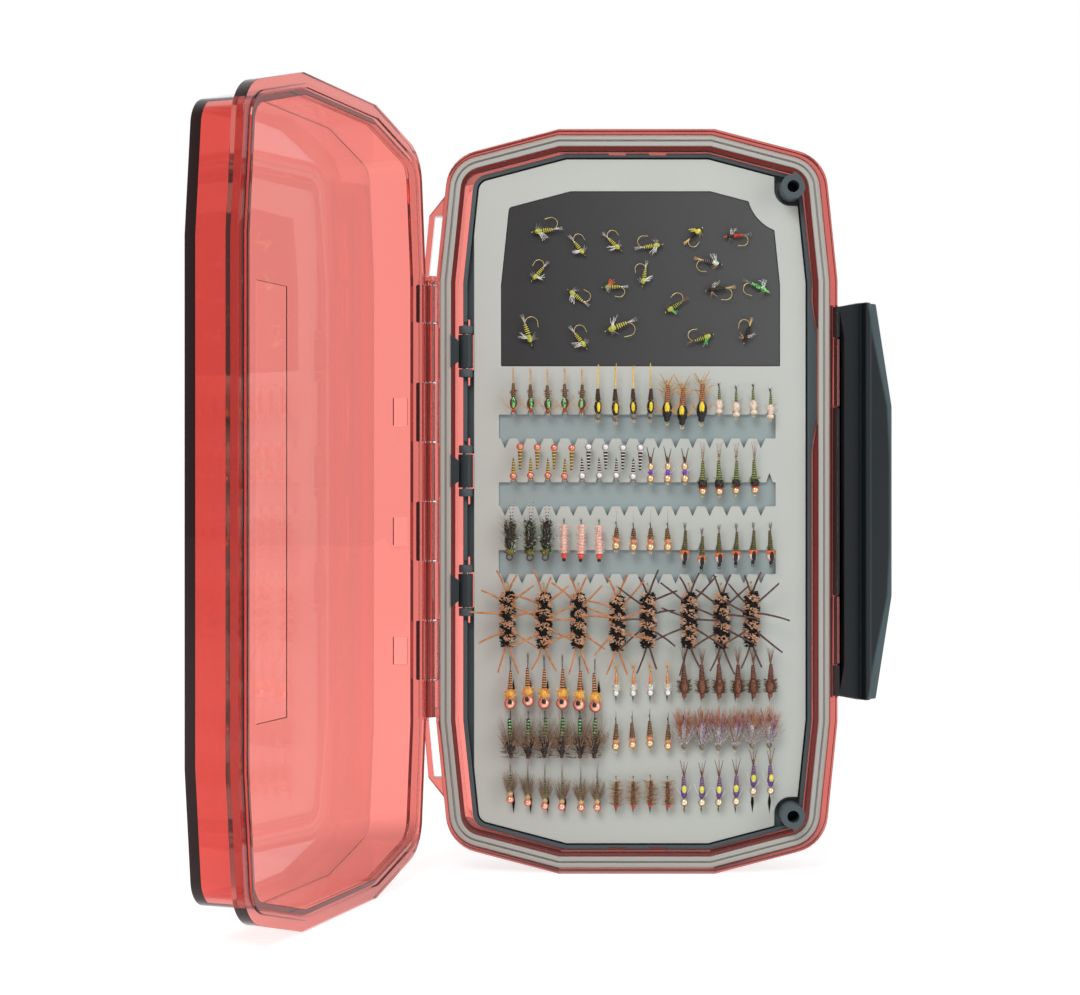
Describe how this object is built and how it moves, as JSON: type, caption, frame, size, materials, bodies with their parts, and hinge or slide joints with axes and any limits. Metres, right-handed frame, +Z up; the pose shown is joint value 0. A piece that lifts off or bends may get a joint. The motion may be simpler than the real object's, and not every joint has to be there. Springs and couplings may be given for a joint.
{
  "type": "fly box",
  "caption": "Fishing fly box with hinged translucent lid, gasketed base, swing leaf with slit silicone mats and magnetic sheet, folding latch and seated flies.",
  "frame": {"origin": "centre of the bottom end face of the base's rim flange, on which the open box stands", "axes": "+Z up along the case's length and along every hinge axis, +X towards the latch side, +Y out of the back of the base; the base opens towards -Y"},
  "size_m": [0.1678, 0.1205, 0.19],
  "materials": {
    "red_clear_plastic": "translucent red moulded plastic, glossy",
    "gasket_rubber": "grey silicone rubber",
    "mat_silicone": "pale grey silicone, satin",
    "pin_steel": "drawn stainless steel",
    "dark_plastic": "dark slate moulded plastic, satin",
    "slate_plastic": "slate grey moulded plastic, satin",
    "magnet_rubber": "dark flexible magnetic sheet, matt",
    "fly_brown": "brown thread, feather and dubbing",
    "fly_dark": "dark thread and hackle",
    "fly_cream": "cream foam and olive thread",
    "fly_copper": "copper wire and bead",
    "fly_purple": "purple thread and flash",
    "fly_olive": "olive thread and dubbing",
    "fly_pink": "pink ribbed body",
    "fly_orange": "orange dubbing"
  },
  "bodies": {
    "base": {"base_shell": "red_clear_plastic", "base_gasket": "gasket_rubber", "base_mat": "mat_silicone", "leaf_clip_top": "dark_plastic", "leaf_clip_middle": "dark_plastic", "leaf_clip_bottom": "dark_plastic"},
    "lid": {"lid_shell": "red_clear_plastic"},
    "leaf": {"leaf_frame": "slate_plastic", "leaf_front_mat": "mat_silicone", "leaf_back_mat": "mat_silicone", "leaf_magnet_sheet": "magnet_rubber", "leaf_pins": "pin_steel", "flies_green_flash": "fly_brown", "flies_dark_tan": "fly_dark", "flies_rubber_leg": "fly_dark", "flies_cream": "fly_cream", "midges_copper": "fly_copper", "midges_silver": "fly_dark", "nymphs_purple": "fly_purple", "nymphs_black_olive": "fly_olive", "flies_shaggy_green": "fly_dark", "shrimps_pink": "fly_pink", "nymphs_brown_gold": "fly_brown", "scuds_olive": "fly_olive", "stoneflies_tan": "fly_brown", "stoneflies_brown": "fly_brown", "nymphs_copper_bead": "fly_copper", "nymphs_silver_bead": "fly_brown", "nymphs_pheasant_tail": "fly_brown", "flies_black_hackle": "fly_dark", "nymphs_gold_bead": "fly_brown", "flies_orange_tuft": "fly_orange", "flies_soft_hackle": "fly_brown", "nymphs_fuzzy_brown": "fly_brown", "nymphs_violet": "fly_purple", "sheet_flies": "fly_olive"},
    "latch_flap": {"latch": "dark_plastic"},
    "lid_pin": {"lid_hinge_pin": "pin_steel"},
    "latch_rod": {"latch_pin": "pin_steel"}
  },
  "joints": [
    {"name": "lid_hinge", "type": "hinge", "parent": "base", "child": "lid", "pos_m": [-0.053, -0.003, 0.095], "axis": [0, 0, -1], "range_deg": [-109, 61]},
    {"name": "leaf_hinge", "type": "hinge", "parent": "base", "child": "leaf", "pos_m": [-0.04375, 0, 0.095], "axis": [0, 0, -1], "range_deg": [0, 95]},
    {"name": "latch_hinge", "type": "hinge", "parent": "base", "child": "latch_flap", "pos_m": [0.0514, 0.0032, 0.095], "axis": [0, 0, 1], "range_deg": [-125, 0]},
    {"name": "lid_pin_turn", "type": "hinge", "parent": "base", "child": "lid_pin", "pos_m": [-0.053, -0.003, 0.095], "axis": [0, 0, 1], "continuous": true},
    {"name": "latch_pin_turn", "type": "hinge", "parent": "base", "child": "latch_rod", "pos_m": [0.0514, 0.0032, 0.095], "axis": [0, 0, 1], "continuous": true}
  ]
}
